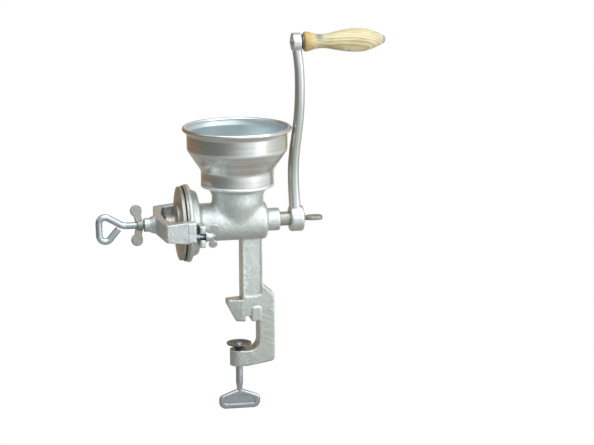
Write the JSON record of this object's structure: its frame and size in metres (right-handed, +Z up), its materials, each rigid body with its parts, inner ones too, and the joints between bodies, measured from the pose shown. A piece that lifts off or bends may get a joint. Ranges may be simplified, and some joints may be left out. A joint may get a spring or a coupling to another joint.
{
  "type": "hand cranked mill",
  "caption": "Table-clamp hand mill: round sheet hopper over a screw-fed barrel, two toothed grinding plates under a bridge with an adjusting screw, and an S-shaped crank with a wooden grip.",
  "frame": {"origin": "on the underside of the upper jaw's front foot, on the clamp screw's axis, which is also the hopper's axis", "axes": "+X along the shaft towards the crank, +Z up, so -Z is the outward normal of the jaw face that rests on the table; Y = 0 is the casting's middle plane"},
  "size_m": [0.3411, 0.1312, 0.4479],
  "materials": {
    "cast": "tinned grey iron with a fine sand-cast grain",
    "hopper_steel": "spun sheet steel, tinned, brushed round",
    "bridge_cast": "tinned grey iron, a little duller than the body",
    "plates": "chilled iron, machined faces",
    "crank_steel": "tinned forged steel, smooth",
    "zinc": "bright bluish zinc",
    "nuts": "light tinned cast metal, matt",
    "pad_steel": "dark pressed steel",
    "ball_steel": "hardened bearing steel",
    "wood": "pale clear-lacquered turned wood"
  },
  "bodies": {
    "mill": {"mill_casting": "cast", "fixed_plate": "plates", "fixed_plate_screws": "zinc", "bridge": "bridge_cast", "bridge_stud_front": "zinc", "bridge_stud_rear": "zinc"},
    "hopper": {"hopper": "hopper_steel"},
    "thrust": {"thrust_ball": "ball_steel"},
    "adjuster": {"adjusting_screw": "zinc"},
    "lock_nut": {"lock_wing_nut": "nuts"},
    "drive": {"auger": "plates", "plate_carrier": "plates", "turning_plate": "plates", "turning_plate_screws": "zinc", "crank_arm": "crank_steel", "crank_screw": "zinc", "handle_pin": "zinc", "handle_washer": "zinc"},
    "grip": {"handle_grip": "wood"},
    "pad": {"clamp_pad": "pad_steel"},
    "clamp_key": {"clamp_screw": "zinc"},
    "front_washer": {"washer_front": "zinc"},
    "rear_washer": {"washer_rear": "zinc"},
    "front_nut": {"wing_nut_front": "nuts"},
    "rear_nut": {"wing_nut_rear": "nuts"}
  },
  "joints": [
    {"name": "hopper_lift", "type": "slide", "parent": "mill", "child": "hopper", "axis": [0, 0, 1], "range_m": [0, 0.06]},
    {"name": "thrust_slide", "type": "slide", "parent": "mill", "child": "thrust", "axis": [1, 0, 0], "range_m": [-0.0015, 0.001]},
    {"name": "adjust_turn", "type": "hinge", "parent": "thrust", "child": "adjuster", "pos_m": [-0.12, 0, 0.1185], "axis": [1, 0, 0], "range_deg": [-432.5, 288.5]},
    {"name": "lock_nut_turn", "type": "hinge", "parent": "adjuster", "child": "lock_nut", "pos_m": [-0.115, 0, 0.1185], "axis": [1, 0, 0], "range_deg": [-360, 460]},
    {"name": "crank_turn", "type": "hinge", "parent": "thrust", "child": "drive", "pos_m": [0, 0, 0.1185], "axis": [1, 0, 0], "continuous": true},
    {"name": "grip_spin", "type": "hinge", "parent": "drive", "child": "grip", "pos_m": [0.12, 0, 0.3259], "axis": [1, 0, 0], "continuous": true},
    {"name": "pad_slide", "type": "slide", "parent": "mill", "child": "pad", "axis": [0, 0, 1], "range_m": [0, 0.027]},
    {"name": "clamp_turn", "type": "hinge", "parent": "pad", "child": "clamp_key", "pos_m": [0, 0, -0.06], "axis": [0, 0, 1], "range_deg": [-0.5, 7777]},
    {"name": "front_washer_slide", "type": "slide", "parent": "mill", "child": "front_washer", "axis": [1, 0, 0], "range_m": [0, 0.002]},
    {"name": "front_nut_turn", "type": "hinge", "parent": "front_washer", "child": "front_nut", "pos_m": [-0.04, -0.0515, 0.1136], "axis": [1, 0, 0], "range_deg": [-0.5, 721]},
    {"name": "rear_washer_slide", "type": "slide", "parent": "mill", "child": "rear_washer", "axis": [1, 0, 0], "range_m": [0, 0.002]},
    {"name": "rear_nut_turn", "type": "hinge", "parent": "rear_washer", "child": "rear_nut", "pos_m": [-0.04, 0.0515, 0.1136], "axis": [1, 0, 0], "range_deg": [-0.5, 721]}
  ],
  "couplings": [
    {"joint": "adjust_turn", "follows": "thrust_slide", "rad_per_m": 5026.5},
    {"joint": "clamp_turn", "follows": "pad_slide", "rad_per_m": 5026.5},
    {"joint": "front_nut_turn", "follows": "front_washer_slide", "rad_per_m": 6283.2},
    {"joint": "rear_nut_turn", "follows": "rear_washer_slide", "rad_per_m": 6283.2}
  ]
}
